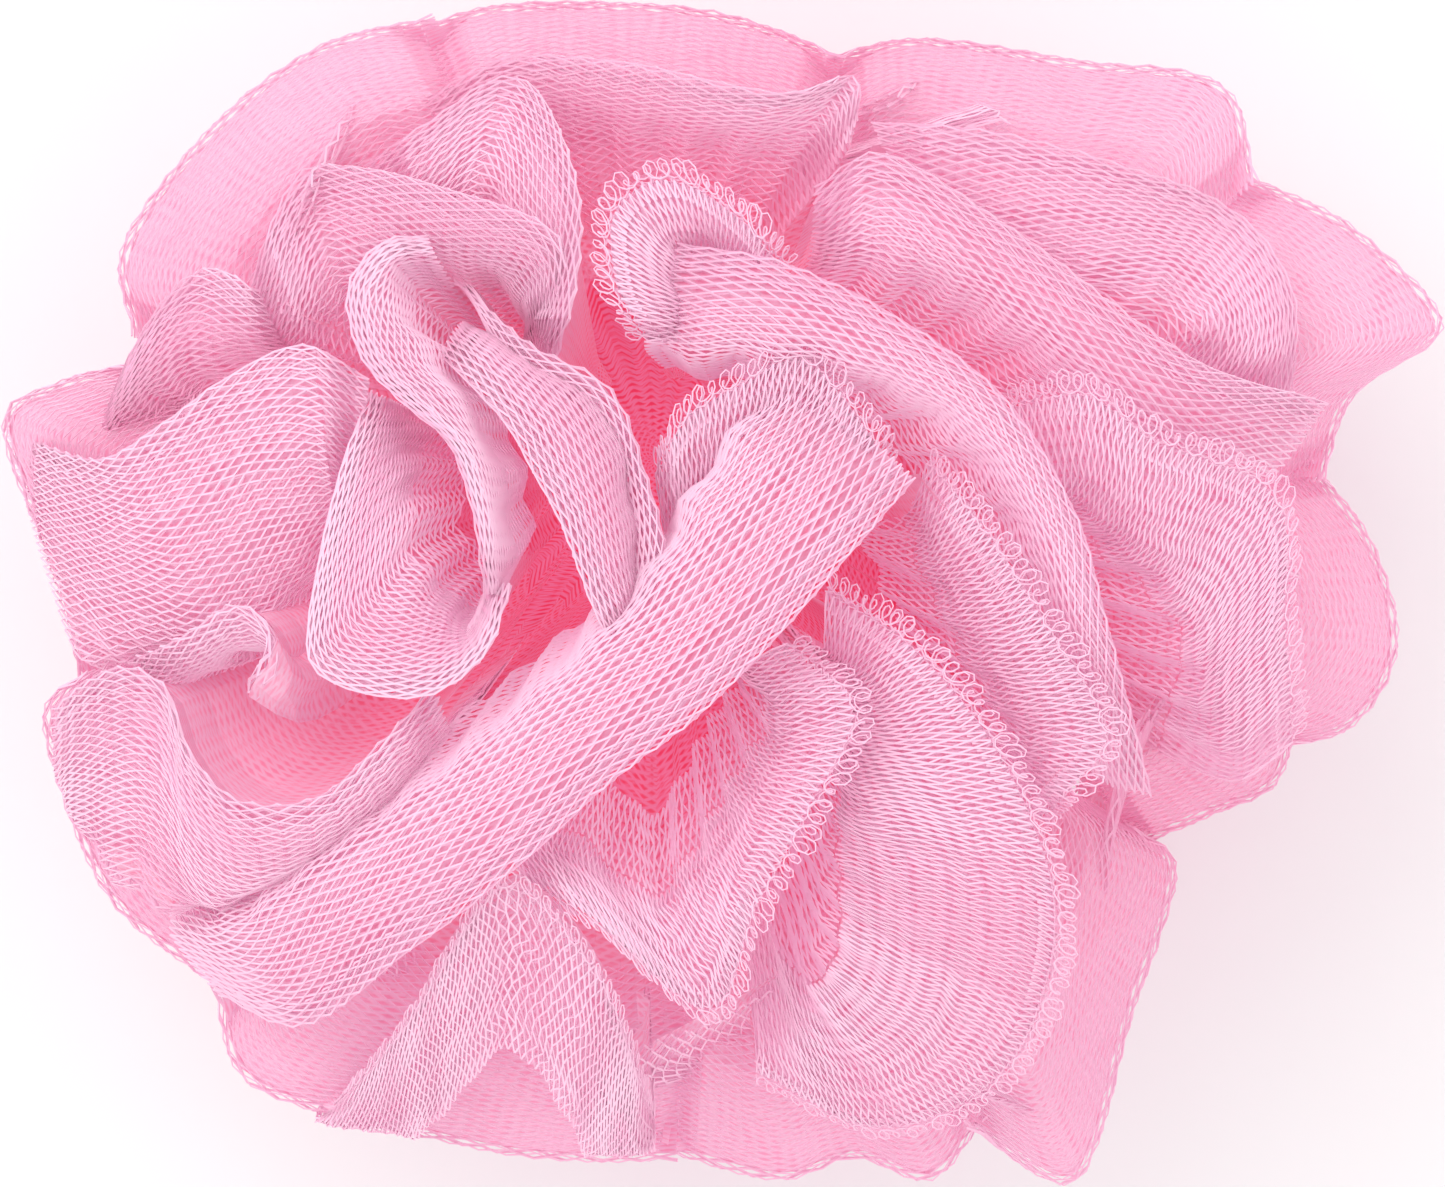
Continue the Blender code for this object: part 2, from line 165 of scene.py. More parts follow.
# the outline seen from above, in millimetres
outline = np.array([
    (65, 24), (62.5, 29), (58, 32), (48.5, 37), (46, 42), (45, 46), (34.5, 47), (29, 48.5), (18, 50),
    (10, 48.7), (3, 51), (-10, 52.5), (-20, 53), (-25, 51.8), (-32, 51), (-38, 48), (-44, 43.5),
    (-49.5, 38), (-53, 33), (-54.6, 24), (-52, 22.3), (-54.5, 19.2), (-58, 19), (-61.5, 18.6), (-65, 16.3),
    (-63, 10), (-58, -7), (-61, -9.3), (-60.8, -14), (-59.6, -19.5), (-56, -26), (-46, -35.6),
    (-42.6, -44.8), (-40, -46), (-29.7, -49), (-23.5, -50.3), (-15, -51), (-5.7, -50.8), (5.4, -53),
    (8.7, -50), (10.3, -49.6), (16.5, -53), (21, -52), (22.4, -48.3), (31, -53), (32.5, -51.4), (38, -35),
    (40.7, -25), (38, -22), (49.4, -17.8), (50.5, -13.6), (58, -11), (61, -4), (60.5, 0), (54.3, 11),
    (57.5, 18), (65, 24)])
outlineAngles = np.unwrap(np.arctan2(outline[:, 1] - puff["gather"][1], outline[:, 0] - puff["gather"][0]))
outlineRuns = np.concatenate([[0], np.cumsum(np.linalg.norm(np.diff(outline, axis=0), axis=1))])
outlineRuns = outlineRuns / outlineRuns[-1]  # how far round the outline each point lies

sheetShape = {
    "alongSteps": 56, "bandSteps": 8, "flankSteps": 14, "rows": 26,
    "bandBulge": 1.4, "flankDrop": 12,  # how far the band swells, and how steeply the net turns down
    "pleatLength": 7.5, "pleatDepth": 0.5,  # gathers that fan out from the tie
    "endDive": 4, "endShare": 0.1,  # the ends dip under their neighbours
    "stretch": 1.45,  # a long row's threads may part by this much before they draw together
}

sideRuffles = {
    "count": 11, "reach": 0.92, "high": 26, "low": -30,  # degrees over and under the tie
    "lean": 16, "band": 17, "tuck": 8, "points": 6, "height": 0.93,
}

underSide = {
    "turn": 0.56, "within": 0.96,  # the part of the outline by which it is turned, and how far out it comes
    "floorGap": 0.3, "underTie": 2,
}

net = {
    "dense": {"spacing": 0.32, "cell": 3.0, "steps": 2, "thread": 0.11},
    "fine": {"spacing": 0.42, "cell": 3.2, "steps": 2, "thread": 0.1},
    "flank": {"spacing": 0.5, "cell": 3.2, "steps": 2, "thread": 0.11},
    "open": {"spacing": 0.62, "cell": 2.4, "steps": 2, "thread": 0.1},
    "rim": {"spacing": 0.42, "cell": 2.8, "steps": 2, "thread": 0.08},
    "medium": {"spacing": 0.66, "cell": 3.6, "steps": 2, "thread": 0.12},
    "layerGap": 1.1, "wobble": 0.5, "wobbleScale": 110.0, "waver": 0.35, "waverScale": 5.0,
    "touch": 0.48, "nose": 1.6,  # each wave's height, so that threads just touch, and the roundness of a fold
    "second": 0.4, "fold": 2.5,  # from the first layer to the second, and how far the crest's fold comes back
    "edge": 0.0005,  # the map isn't read on its very edge
}
# how far past its band a ruffle's threads go, and how far back under it from the crest
threadReach = {"upper": 5, "flank": 14, "rim": 6, "side": 4, "sideBack": 6, "under": 5, "underBack": 5}

innerNet = {
    "inset": 0.85, "start": 0.7, "rimStart": 0.4,  # under the ruffle's own two layers, in from its crest
    "openInset": 1.8, "sideStart": 2.7,
    "alongSteps": 28, "rows": 14,
    "cell": 3.3, "spacing": 0.42, "deepens": 15,  # how far from its band a recess is at its deepest painted shade
    "least": 0.3,  # and how much painted shade lies on top of the puff; the rim is palest
    "wallRows": 10, "wallDrop": 14,
}

gathers = {
    "around": 144, "pleats": 24, "pleatDepth": 0.07,
    "profile": [(0.3, 8), (4, 8), (7, 9.5), (11, 12.5), (16, 15.5)],  # radius and height from the tie
    "mapAround": 8, "mapReach": 1.5,  # the drawn net's size on it
}

loops = {"pitch": 1.3, "reach": 0.85, "width": 0.68, "thread": 0.075, "steps": 8}  # thread ends along a crest


def smoothLine(points, count):  # count + 1 even steps along a smooth curve through the points
    points = np.asarray(points, float)
    ends = np.vstack([2 * points[0] - points[1], points, 2 * points[-1] - points[-2]])
    dense = []
    for i in range(len(points) - 1):
        a, b, c, d = ends[i:i + 4]
        for t in np.arange(0, 1, 1 / 12):
            dense.append(0.5 * (2 * b + (c - a) * t + (2 * a - 5 * b + 4 * c - d) * t ** 2
                                + (3 * b - a - 3 * c + d) * t ** 3))
    dense = np.array(dense + [points[-1]])
    run = np.concatenate([[0], np.cumsum(np.linalg.norm(np.diff(dense, axis=0), axis=1))])
    goal = np.linspace(0, run[-1], count + 1)
    return np.stack([np.interp(goal, run, dense[:, k]) for k in range(3)], axis=1)


def gridFaces(count, rows):
    index = np.arange(count * rows).reshape(count, rows)
    return np.stack([index[:-1, :-1], index[1:, :-1], index[1:, 1:], index[:-1, 1:]], axis=-1).reshape(-1, 4)


def unit(vectors):
    return vectors / np.maximum(np.linalg.norm(vectors, axis=-1, keepdims=True), 1e-9)


def onDome(points):
    line = []
    for x, y, lift in points:
        across = min(math.hypot(x / puff["halfLength"], y / puff["halfWidth"]), 1)
        line.append((x, y, puff["waist"] + puff["rise"] * math.sqrt(1 - across ** puff["roundness"]) + lift))
    return line


def rootLine(fold, side):  # where the net is drawn together at the tie
    away = unit(fold[:, :2] - np.array(puff["gather"]))
    middle = unit(away.mean(axis=0, keepdims=True))
    away = unit(middle * (1 - puff["rootSpread"]) + away * puff["rootSpread"])
    share = np.clip(np.abs(fold[:, 2] - puff["waist"]) / puff["rise"], 0, 1)
    height = puff["rootLow"] + (puff["rootHigh"] - puff["rootLow"]) * share
    root = np.zeros_like(fold)
    root[:, :2] = np.array(puff["gather"]) + away * puff["rootRadius"]
    root[:, 2] = puff["waist"] + side * height
    return root


def evenRows(grid):  # rows at the same distances from the crest, drawn together only near the tie
    steps = np.linalg.norm(np.diff(grid, axis=1), axis=2)
    runs = np.concatenate([np.zeros((len(grid), 1)), np.cumsum(steps, axis=1)], axis=1)
    typical = min(runs[:, -1].mean(), runs[:, -1].min() * sheetShape["stretch"])
    share = np.linspace(0, 1, sheetShape["rows"] + 1)
    even = []
    for line, run in zip(grid, runs):
        goal = share * typical + (run[-1] - typical) * share ** 3
        even.append(np.stack([np.interp(goal, run, line[:, k]) for k in range(3)], axis=1))
    return np.array(even), share * typical


def ruffleSheet(name, crest, turn, side, seed):  # one ruffle's upper layer as a grid from its crest to the tie
    shape = sheetShape
    edge = smoothLine(crest, shape["alongSteps"])
    fold = smoothLine(turn, shape["alongSteps"])
    along = np.linspace(0, 1, len(edge))
    ends = np.clip(np.minimum(along, 1 - along) / shape["endShare"], 0, 1)
    dive = shape["endDive"] * (1 - ends * ends * (3 - 2 * ends)) * side
    edge[:, 2] -= dive
    fold[:, 2] -= dive
    root = rootLine(fold, side)
    rows = []
    for t in np.linspace(0, 1, shape["bandSteps"] + 1):
        row = edge * (1 - t) + fold * t
        row[:, 2] += side * shape["bandBulge"] * 4 * t * (1 - t)
        rows.append(row)
    start = fold + unit(fold - edge) * 2
    start[:, 2] -= side * shape["flankDrop"] * 0.5
    inner = fold * 0.35 + root * 0.65
    inner[:, 2] -= side * 2
    for t in np.linspace(0, 1, shape["flankSteps"] + 1)[1:]:
        rows.append(fold * (1 - t) ** 3 + start * 3 * t * (1 - t) ** 2 + inner * 3 * t * t * (1 - t) + root * t ** 3)
    grid = np.stack(rows, axis=1)
    for _ in range(2):  # round off the turn
        grid[:, 1:-1] = (2 * grid[:, 1:-1] + grid[:, :-2] + grid[:, 2:]) / 4
    length = np.linalg.norm(np.diff(edge, axis=0), axis=1).sum()
    band = np.linalg.norm(fold - edge, axis=1).mean()
    grid, reach = evenRows(grid)
    normal = unit(np.cross(np.gradient(grid, axis=0), np.gradient(grid, axis=1)))
    centre = np.array([puff["gather"][0], puff["gather"][1], puff["waist"]])
    normal *= np.sign((normal * (grid - centre)).sum(axis=2).mean())
    pleats = np.sin(along[:, None] * 2 * math.pi * round(length / shape["pleatLength"]) + seed * 1.7
                    + 1.5 * np.sin(along[:, None] * 5 + seed))
    depth = np.clip((reach - band * 0.8) / 10, 0, 1) * (1 - reach / reach[-1])
    grid = grid + normal * pleats[:, :, None] * depth[None, :, None] * 2 * shape["pleatDepth"]
    if side < 0:
        grid[:, :, 2] = np.maximum(grid[:, :, 2], underSide["floorGap"])
    return {"name": name, "grid": grid * mm, "inward": -normal, "length": length, "reach": reach,
            "band": band, "seed": seed}


def gridObject(sheet):  # the sheet as a mesh, with its flat place as UV and the way to its second layer
    grid = sheet["grid"]
    count, rows = grid.shape[:2]
    faces = gridFaces(count, rows)
    mesh = bpy.data.meshes.new(sheet["name"])
    mesh.from_pydata(grid.reshape(-1, 3).tolist(), [], faces.tolist())
    flat = np.stack(np.broadcast_arrays(np.linspace(0, 1, count)[:, None],
                                        (sheet["reach"] / sheet["reach"][-1])[None, :]), axis=-1).reshape(-1, 2)
    mesh.uv_layers.new(name="UVMap").data.foreach_set("uv", flat[faces.ravel()].astype(np.float32).ravel())
    inward = mesh.attributes.new("inward", "FLOAT_VECTOR", "POINT")
    inward.data.foreach_set("vector", sheet["inward"].astype(np.float32).ravel())
    mesh.shade_smooth()
    ob = bpy.data.objects.new(sheet["name"], mesh)
    bpy.context.scene.collection.objects.link(ob)
    return ob


def addNode(tree, kind, inputs=(), **settings):  # inputs are pairs of socket and value or output
    node = tree.nodes.new(kind)
    for key, value in settings.items():
        setattr(node, key, value)
    for key, value in inputs:
        if isinstance(value, bpy.types.NodeSocket):
            tree.links.new(value, node.inputs[key])
        else:
            node.inputs[key].default_value = value
    return node


def netTree():  # threads on a sheet: each one waves, and touches its neighbours once a cell
    tree = bpy.data.node_groups.new("netThreads", "GeometryNodeTree")
    face = tree.interface
    face.new_socket("Geometry", in_out="INPUT", socket_type="NodeSocketGeometry")
    for name, kind in (("Threads", "Int"), ("Cells", "Int"), ("Steps", "Int"), ("From", "Float"), ("To", "Float"),
                       ("Reach", "Float"), ("Thread radius", "Float"), ("Layer gap", "Float"), ("Across", "Bool"),
                       ("Wobble", "Float"), ("Waver", "Float"), ("Seed", "Float"), ("Gap end", "Float"),
                       ("Material", "Material")):
        face.new_socket(name, in_out="INPUT", socket_type="NodeSocket" + kind)
    face.new_socket("Geometry", in_out="OUTPUT", socket_type="NodeSocketGeometry")
    source = tree.nodes.new("NodeGroupInput").outputs

    def maths(operation, a, b=0.0, c=0.0, clamp=False):
        return addNode(tree, "ShaderNodeMath", [(0, a), (1, b), (2, c)], operation=operation,
                       use_clamp=clamp).outputs[0]

    def vector(operation, a, b=(0, 0, 0)):
        return addNode(tree, "ShaderNodeVectorMath", [(0, a), (1, b)], operation=operation).outputs[0]

    def scaled(a, factor):
        return addNode(tree, "ShaderNodeVectorMath", [(0, a), ("Scale", factor)], operation="SCALE").outputs[0]

    samples = maths("MULTIPLY_ADD", source["Cells"], source["Steps"], 1.0)
    grid = addNode(tree, "GeometryNodeMeshGrid", [("Size X", 1.0), ("Size Y", 1.0), ("Vertices X", samples),
                                                  ("Vertices Y", source["Threads"])])
    ends = addNode(tree, "GeometryNodeInputMeshEdgeVertices")
    gapY = addNode(tree, "ShaderNodeSeparateXYZ",
                   [(0, vector("SUBTRACT", ends.outputs["Position 1"], ends.outputs["Position 2"]))]).outputs[1]
    lengthwise = addNode(tree, "FunctionNodeCompare", [(0, maths("ABSOLUTE", gapY)), (1, 1e-6)],
                         data_type="FLOAT", operation="LESS_THAN").outputs[0]
    threads = addNode(tree, "GeometryNodeMeshToCurve", [(0, grid.outputs["Mesh"]), (1, lengthwise)])
    here = addNode(tree, "ShaderNodeSeparateXYZ", [(0, addNode(tree, "GeometryNodeInputPosition").outputs[0])])
    along = maths("ADD", here.outputs[0], 0.5)
    beside = maths("ADD", here.outputs[1], 0.5)
    gaps = maths("SUBTRACT", source["Threads"], 1.0)
    thread = maths("ROUND", maths("MULTIPLY", beside, gaps))
    turns = maths("MULTIPLY", maths("MULTIPLY", along, source["Cells"]), 2 * math.pi)
    wave = maths("COSINE", maths("ADD", turns, maths("MULTIPLY", thread, math.pi)))
    waved = maths("DIVIDE", maths("MULTIPLY_ADD", wave, net["touch"], thread), gaps)
    # slow drift, so that the cells open and close over the cloth
    place = addNode(tree, "ShaderNodeCombineXYZ", [(0, along), (1, beside), (2, source["Seed"])]).outputs[0]
    drift = addNode(tree, "ShaderNodeTexNoise", [("Vector", place), ("Scale", net["waverScale"]), ("Detail", 2.0)],
                    noise_dimensions="3D")
    away = vector("SUBTRACT", drift.outputs["Color"], (0.5, 0.5, 0.5))
    drifted = addNode(tree, "ShaderNodeSeparateXYZ", [(0, scaled(away, source["Waver"]))])

    def eased(share):  # nothing at either end, most in the middle
        return maths("MULTIPLY", maths("MULTIPLY", share, maths("SUBTRACT", 1.0, share)), 0.5)

    def chosen(plain, crossed):
        return addNode(tree, "GeometryNodeSwitch", [("Switch", source["Across"]), ("False", plain),
                                                    ("True", crossed)], input_type="FLOAT").outputs[0]

    def within(value):
        return maths("MINIMUM", maths("MAXIMUM", value, net["edge"]), 1 - net["edge"])

    along = maths("MULTIPLY_ADD", drifted.outputs[0], eased(along), along)
    beside = maths("MULTIPLY_ADD", drifted.outputs[1], eased(beside), waved)
    span = maths("SUBTRACT", source["To"], source["From"])
    distance = maths("MULTIPLY_ADD", chosen(beside, along), span, source["From"])
    down = maths("DIVIDE", maths("ABSOLUTE", distance), source["Reach"])
    flat = addNode(tree, "ShaderNodeCombineXYZ", [(0, within(chosen(along, beside))), (1, within(down))]).outputs[0]
    uvMap = addNode(tree, "GeometryNodeInputNamedAttribute", [("Name", "UVMap")], data_type="FLOAT_VECTOR").outputs[0]
    inward = addNode(tree, "GeometryNodeInputNamedAttribute", [("Name", "inward")],
                     data_type="FLOAT_VECTOR").outputs[0]
    position = addNode(tree, "GeometryNodeInputPosition").outputs[0]

    def onSheet(value):
        return addNode(tree, "GeometryNodeSampleUVSurface", [
            ("Mesh", source["Geometry"]), ("Value", value), ("UV Map", uvMap), ("Sample UV", flat)],
            data_type="FLOAT_VECTOR").outputs["Value"]

    spot = onSheet(position)
    way = onSheet(inward)
    # the second layer comes back under the first from the crest, which is a fold of the net
    isUnder = maths("LESS_THAN", distance, 0.0)
    nose = maths("SQRT", maths("MINIMUM", maths("DIVIDE", maths("ABSOLUTE", distance), net["nose"] * mm), 1.0))
    tail = maths("SUBTRACT", 1.0, maths("DIVIDE", maths("ABSOLUTE", distance), source["Gap end"]), clamp=True)
    tail = maths("POWER", tail, 0.5)
    gap = maths("MULTIPLY", maths("MULTIPLY", isUnder, source["Layer gap"]), maths("MULTIPLY", nose, tail))
    spot = vector("ADD", spot, scaled(way, gap))
    wobble = addNode(tree, "ShaderNodeTexNoise", [("Vector", spot), ("Scale", net["wobbleScale"]), ("Detail", 1.5)],
                     noise_dimensions="3D")
    spot = vector("ADD", spot, scaled(vector("SUBTRACT", wobble.outputs["Color"], (0.5, 0.5, 0.5)),
                                      source["Wobble"]))
    moved = addNode(tree, "GeometryNodeSetPosition", [("Geometry", threads.outputs[0]), ("Position", spot)])
    section = addNode(tree, "GeometryNodeCurvePrimitiveCircle", [("Resolution", 3),
                                                                 ("Radius", source["Thread radius"])], mode="RADIUS")
    tubes = addNode(tree, "GeometryNodeCurveToMesh", [(0, moved.outputs[0]), (1, section.outputs[0]),
                                                      ("Fill Caps", True)])
    smooth = addNode(tree, "GeometryNodeSetShadeSmooth", [(0, tubes.outputs[0])])
    single = addNode(tree, "GeometryNodeRealizeInstances", [(0, smooth.outputs[0])])
    painted = addNode(tree, "GeometryNodeSetMaterial", [(0, single.outputs[0]), ("Material", source["Material"])])
    out = tree.nodes.new("NodeGroupOutput")
    tree.links.new(painted.outputs[0], out.inputs[0])
    return tree


def woven(ob, sheet, kind, start, end, across, material):  # the evaluated threads as a plain mesh
    grade = net[kind]
    modifier = ob.modifiers.new("net", "NODES")
    modifier.node_group = threadTree
    span = abs(end - start)
    spacing, cell = grade["spacing"], grade["cell"]
    values = {
        "Threads": max(round((sheet["length"] if across else span) / spacing), 2) + 1,
        "Cells": max(round((span if across else sheet["length"]) / cell), 2),
        "Steps": grade["steps"], "From": start * mm, "To": end * mm, "Reach": float(sheet["reach"][-1]) * mm,
        "Thread radius": grade["thread"] * mm, "Layer gap": net["layerGap"] * mm, "Across": across,
        "Wobble": net["wobble"] * mm, "Waver": net["waver"], "Seed": sheet["seed"] * 1.37,
        "Gap end": max(-start, 1) * mm, "Material": material,
    }
    ids = {item.name: item.identifier for item in threadTree.interface.items_tree if item.in_out == "INPUT"}
    for name, value in values.items():
        modifier[ids[name]] = value
    shown = ob.evaluated_get(bpy.context.evaluated_depsgraph_get())
    mesh = bpy.data.meshes.new_from_object(shown)
    ob.modifiers.remove(modifier)
    return mesh


def joined(name, meshes, material):
    places, faces, first = [], [], 0
    for mesh in meshes:
        co = np.zeros(len(mesh.vertices) * 3, np.float32)
        mesh.vertices.foreach_get("co", co)
        places.append(co)
        corners = np.zeros(len(mesh.loops), np.int32)
        mesh.loops.foreach_get("vertex_index", corners)
        sizes = np.zeros(len(mesh.polygons), np.int32)
        mesh.polygons.foreach_get("loop_total", sizes)
        faces.append((corners + first, sizes))
        first += len(mesh.vertices)
        bpy.data.meshes.remove(mesh)
    whole = bpy.data.meshes.new(name)
    corners = np.concatenate([f[0] for f in faces])
    sizes = np.concatenate([f[1] for f in faces])
    whole.vertices.add(first)
    whole.vertices.foreach_set("co", np.concatenate(places))
    whole.loops.add(len(corners))
    whole.loops.foreach_set("vertex_index", corners)
    whole.polygons.add(len(sizes))
    whole.polygons.foreach_set("loop_start", np.concatenate([[0], np.cumsum(sizes)[:-1]]).astype(np.int32))
    whole.update(calc_edges=True)
    whole.shade_flat()
    whole.materials.append(material)
    ob = bpy.data.objects.new(name, whole)
    bpy.context.scene.collection.objects.link(ob)
    triangles = int((sizes - 2).sum())
    area = sum(p.area for p in whole.polygons)
    print(f"{name}: {triangles} triangles, {area * 1e6:.0f} square mm")
    return ob


def shifted(sheet, inset, seed):  # the same sheet, further inward
    return {**sheet, "grid": sheet["grid"] + sheet["inward"] * inset * mm, "seed": seed}


def loopRow(sheet, seed):  # the net's own loops, which stand out from a crest that cuts across its threads
    grid = sheet["grid"][:, 0] / mm
    outward = unit(grid - sheet["grid"][:, 2] / mm)
    run = np.concatenate([[0], np.cumsum(np.linalg.norm(np.diff(grid, axis=0), axis=1))])
    count = round(run[-1] / loops["pitch"])
    angle = np.arange(count * loops["steps"] + 1) * 2 * math.pi / loops["steps"]
    sway = 1 + 0.35 * np.sin(angle * 0.37 + seed * 2) + 0.25 * np.sin(angle * 0.171 + seed)
    place = angle / (2 * math.pi) * loops["pitch"] + loops["width"] * np.sin(angle) * sway
    reach = loops["reach"] * (0.35 - np.cos(angle)) * sway
    line = np.stack([np.interp(place, run, grid[:, k]) + reach * np.interp(place, run, outward[:, k])
                     for k in range(3)], axis=1)
    line[:, 2] += 0.25 * np.sin(angle * 0.5 + seed)
    curve = bpy.data.curves.new("loops", "CURVE")
    curve.dimensions = "3D"
    curve.bevel_depth = loops["thread"] * mm
    curve.bevel_resolution = 0
    spline = curve.splines.new("POLY")
    spline.points.add(len(line) - 1)
    spline.points.foreach_set("co", np.concatenate([line * mm, np.ones((len(line), 1))], axis=1).ravel())
    ob = bpy.data.objects.new("loops", curve)
    bpy.context.scene.collection.objects.link(ob)
    mesh = bpy.data.meshes.new_from_object(ob.evaluated_get(bpy.context.evaluated_depsgraph_get()))
    bpy.data.objects.remove(ob)
    return mesh


def backing(sheet, start, inset=innerNet["inset"], end=None):  # the closely packed net inside a ruffle
    grid = sheet["grid"] / mm + sheet["inward"] * inset
    along = np.linspace(0, grid.shape[0] - 1, innerNet["alongSteps"] + 1).round().astype(int)
    goal = np.linspace(start, end or sheet["reach"][-1], innerNet["rows"] + 1)
    points = np.array([np.stack([np.interp(goal, sheet["reach"], grid[k, :, axis]) for axis in range(3)], axis=1)
                       for k in along])
    # painted shade grows with distance past the band
    return drawnSheet(sheet, points, goal, (goal - sheet["band"] * 0.8) / innerNet["deepens"])


def outerWall(sheet, side):  # the far side of the fold, from the crest down to the tie
    along = np.linspace(0, len(sheet["grid"]) - 1, innerNet["alongSteps"] + 1).round().astype(int)
    crest, root = sheet["grid"][along, 1] / mm, sheet["grid"][along, -1] / mm
    down = np.array([0, 0, side])
    first = crest - down * innerNet["wallDrop"]
    last = crest * 0.3 + root * 0.7 - down * 2
    points = np.stack([crest * (1 - t) ** 3 + first * 3 * t * (1 - t) ** 2 + last * 3 * t * t * (1 - t) + root * t ** 3
                       for t in np.linspace(0, 1, innerNet["wallRows"] + 1)], axis=1)
    points[:, :, :2] += unit(crest - root)[:, None, :2] * -innerNet["inset"]
    goal = np.linspace(0, sheet["reach"][-1], innerNet["wallRows"] + 1)
    # the far wall's painted shade grows more slowly toward the tie
    return drawnSheet(sheet, points, goal, goal / innerNet["deepens"] / 1.6)


def drawnSheet(sheet, points, goal, depth):
    points[:, :, 2] = np.maximum(points[:, :, 2], underSide["floorGap"])
    count, rows = points.shape[:2]
    flat = np.stack(np.broadcast_arrays(np.linspace(0, sheet["length"], count)[:, None] + sheet["seed"] * 90,
                                        goal[None, :]), axis=-1).reshape(-1, 2)
    # how deep in a recess each point lies, which sets the backing's painted shade, less toward the rim
    across = np.hypot(points[:, :, 0] / puff["halfLength"], points[:, :, 1] / puff["halfWidth"])
    depth = np.clip(depth, 0, 1)[None, :] * np.clip(1.25 - across, 0, 1)
    depth = np.maximum(depth, innerNet["least"] * np.clip(1.1 - across, 0, 1))
    return points.reshape(-1, 3) * mm, gridFaces(count, rows), flat, depth.ravel()


def gatherBowl(side):  # the pleated middle, where every ruffle is drawn into the tie
    around = np.linspace(0, 2 * math.pi, gathers["around"] + 1)
    reach, rise = np.array(gathers["profile"]).T
    pleats = 1 + gathers["pleatDepth"] * np.sin(around * gathers["pleats"])[:, None] * (reach / reach[-1])[None, :]
    points = np.stack(np.broadcast_arrays(
        puff["gather"][0] + reach[None, :] * np.cos(around)[:, None] * pleats,
        puff["gather"][1] + reach[None, :] * np.sin(around)[:, None] * pleats,
        puff["waist"] + side * rise[None, :]), axis=-1)
    count, rows = points.shape[:2]
    flat = np.stack(np.broadcast_arrays(around[:, None] * gathers["mapAround"], reach[None, :] * gathers["mapReach"]),
                    axis=-1).reshape(-1, 2)
    # the middle takes the full painted recess shade
    return points.reshape(-1, 3) * mm, gridFaces(count, rows), flat, np.ones(count * rows)


def joinedBacking(name, parts, material):
    first, places, faces, flats, depths = 0, [], [], [], []
    for points, corners, flat, depth in parts:
        places.append(points)
        faces.append(corners + first)
        flats.append(flat)
        depths.append(depth)
        first += len(points)
    faces = np.concatenate(faces)
    mesh = bpy.data.meshes.new(name)
    mesh.from_pydata(np.concatenate(places).tolist(), [], faces.tolist())
    layer = mesh.uv_layers.new(name="UVMap")
    layer.data.foreach_set("uv", np.concatenate(flats)[faces.ravel()].astype(np.float32).ravel())
    # depth carries the painted recess shade to the material
    mesh.attributes.new("depth", "FLOAT", "POINT").data.foreach_set("value", np.concatenate(depths))
    mesh.shade_flat()
    mesh.materials.append(material)
    ob = bpy.data.objects.new(name, mesh)
    bpy.context.scene.collection.objects.link(ob)
    area = sum(p.area for p in mesh.polygons)
    print(f"{name}: {2 * len(faces)} triangles, {area * 1e6:.0f} square mm")
    return ob


finish = {
    # the threads' dye is one pink; their colour deepens to coral toward the recess as painted shade, palest at the
    # outside
    "pale": (1.0, 0.64, 0.81, 1), "middle": (1.0, 0.5, 0.69, 1), "deep": (1.0, 0.15, 0.27, 1),
    "inner": (1.0, 0.66, 0.82, 1), "gap": (1.0, 0.44, 0.64, 1),  # near a crest; gap is the colour between the drawn threads, darker as painted shade of the layers below
    "innerRecessShade": (1.0, 0.24, 0.42, 1), "gapRecessShade": (1.0, 0.06, 0.15, 1),  # down in a recess, deep coral as painted shade
    "roughness": 0.5, "specular": 0.12,
    "recess": (-3, 6, 35), "fadeFrom": 0.45, "fadeTo": 1.1,  # where the painted recess shade is deepest, and how it fades outward
    "patchScale": 60.0, "patches": 0.2,
    "warpScale": 90.0, "warp": 2.5,  # how the drawn net bends, in millimetres
}
cordFinish = {
    # dark lies in the twist's grooves, as painted shade
    "dark": (0.75, 0.2, 0.35, 1), "light": (0.95, 0.45, 0.6, 1), "twistScale": 400.0, "bump": 0.0003,
    "roughness": 0.75, "specular": 0.5,
}


def newMaterial(name, roughness, specular):
    material = bpy.data.materials.new(name)
    material.use_nodes = True
    shader = material.node_tree.nodes["Principled BSDF"]
    shader.inputs["Roughness"].default_value = roughness
    shader.inputs["Specular IOR Level"].default_value = specular
    return material, material.node_tree, shader


def netMaterial():
    material, tree, shader = newMaterial("netPlastic", finish["roughness"], finish["specular"])
    place = addNode(tree, "ShaderNodeTexCoord").outputs["Object"]
    size = np.array([puff["halfLength"], puff["halfWidth"], puff["rise"]]) * mm
    centre = np.array(finish["recess"]) * mm
    reach = addNode(tree, "ShaderNodeMapping", [("Vector", place), ("Location", tuple(-centre / size)),
                                                ("Scale", tuple(1 / size))])
    # distance from the recess centre sets the painted shade; noise adds random patches to it
    across = addNode(tree, "ShaderNodeVectorMath", [(0, reach.outputs[0])], operation="LENGTH").outputs["Value"]
    drift = addNode(tree, "ShaderNodeTexNoise", [("Vector", place), ("Scale", finish["patchScale"]), ("Detail", 2.0)])
    patchyShadeReach = addNode(tree, "ShaderNodeMath", [(0, drift.outputs["Fac"]), (1, finish["patches"]), (2, across)],
                     operation="MULTIPLY_ADD").outputs[0]
    share = addNode(tree, "ShaderNodeMapRange", [("Value", patchyShadeReach), ("From Min", finish["fadeFrom"]),
                                                 ("From Max", finish["fadeTo"])])
    ramp = tree.nodes.new("ShaderNodeValToRGB")
    tree.links.new(share.outputs[0], ramp.inputs[0])
    ramp.color_ramp.elements[0].color = finish["deep"]
    ramp.color_ramp.elements[1].color = finish["pale"]
    ramp.color_ramp.elements[1].position = 0.95
    ramp.color_ramp.elements.new(0.55).color = finish["middle"]
    tree.links.new(ramp.outputs[0], shader.inputs["Base Color"])
    return material


